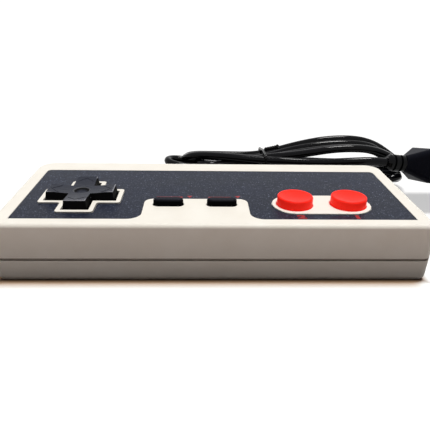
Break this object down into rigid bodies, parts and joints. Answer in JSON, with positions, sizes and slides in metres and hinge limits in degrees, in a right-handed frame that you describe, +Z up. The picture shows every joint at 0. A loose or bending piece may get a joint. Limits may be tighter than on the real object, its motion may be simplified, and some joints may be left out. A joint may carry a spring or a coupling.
{
  "type": "wired game controller",
  "caption": "Flat rectangular wired game controller with a rocking direction pad, round and pill-shaped press buttons, a cord wound in a tied hank and a socketed plug.",
  "frame": {"origin": "bottom centre of the case, on the surface that it lies on", "axes": "+X to the right along the case, towards the round buttons; +Y to the back, where the cord leaves; +Z up, out of the buttons"},
  "size_m": [0.1664, 0.0874, 0.0239],
  "materials": {
    "shell": "fine matt",
    "plate": "satin with fine light specks",
    "black_plastic": "satin",
    "red_plastic": "gloss",
    "cord_rubber": "satin",
    "grey_rubber": "matt",
    "carbon": "matt",
    "board": "satin lacquer",
    "copper": "bare",
    "solder": "bright",
    "steel": "plated",
    "insert_plastic": "matt",
    "contact_metal": "plated",
    "wire_white": "matt",
    "wire_brown": "matt",
    "wire_red": "matt",
    "wire_orange": "matt",
    "wire_yellow": "matt",
    "tie_wire": "satin"
  },
  "bodies": {
    "case": {"top_shell": "shell", "bottom_shell": "shell", "face_plate": "plate", "case_screws": "steel", "d_pad_membrane": "grey_rubber", "round_membrane": "grey_rubber", "pill_membrane": "grey_rubber", "circuit_board": "board", "contact_pads": "copper", "shift_register": "insert_plastic", "chip_legs": "solder", "solder_joints": "solder", "strain_relief": "cord_rubber", "cord_inner": "cord_rubber", "cord_lead": "cord_rubber", "cord_hank": "cord_rubber", "cord_tail": "cord_rubber", "cable_tie": "tie_wire", "plug_boot": "cord_rubber", "plug_body": "black_plastic", "plug_insert": "insert_plastic", "plug_contacts": "contact_metal", "wire_white": "wire_white", "wire_brown": "wire_brown", "wire_red": "wire_red", "wire_orange": "wire_orange", "wire_yellow": "wire_yellow"},
    "d_pad_pivot": {"d_pad_pivot": "steel"},
    "d_pad": {"d_pad": "black_plastic", "d_pad_pills": "carbon"},
    "a_button": {"a_button": "red_plastic", "a_pill": "carbon"},
    "b_button": {"b_button": "red_plastic", "b_pill": "carbon"},
    "select_button": {"select_button": "black_plastic", "select_pill": "carbon"},
    "start_button": {"start_button": "black_plastic", "start_pill": "carbon"}
  },
  "joints": [
    {"name": "d_pad_rock_front_back", "type": "hinge", "parent": "case", "child": "d_pad_pivot", "pos_m": [-0.0404, -0.0065, 0.0144], "axis": [1, 0, 0], "range_deg": [-6, 6], "stiffness_Nm_per_rad": 0.14, "deforming": ["d_pad_membrane"]},
    {"name": "d_pad_rock_left_right", "type": "hinge", "parent": "d_pad_pivot", "child": "d_pad", "pos_m": [-0.0404, -0.0065, 0.0144], "axis": [0, 1, 0], "range_deg": [-6, 6], "stiffness_Nm_per_rad": 0.14, "deforming": ["d_pad_membrane"]},
    {"name": "a_press", "type": "slide", "parent": "case", "child": "a_button", "axis": [0, 0, -1], "range_m": [0, 0.0016], "stiffness_N_per_m": 300, "springref_m": -0.0015, "deforming": ["round_membrane"]},
    {"name": "b_press", "type": "slide", "parent": "case", "child": "b_button", "axis": [0, 0, -1], "range_m": [0, 0.0016], "stiffness_N_per_m": 300, "springref_m": -0.0015, "deforming": ["round_membrane"]},
    {"name": "select_press", "type": "slide", "parent": "case", "child": "select_button", "axis": [0, 0, -1], "range_m": [0, 0.0013], "stiffness_N_per_m": 300, "springref_m": -0.0015, "deforming": ["pill_membrane"]},
    {"name": "start_press", "type": "slide", "parent": "case", "child": "start_button", "axis": [0, 0, -1], "range_m": [0, 0.0013], "stiffness_N_per_m": 300, "springref_m": -0.0015, "deforming": ["pill_membrane"]}
  ]
}
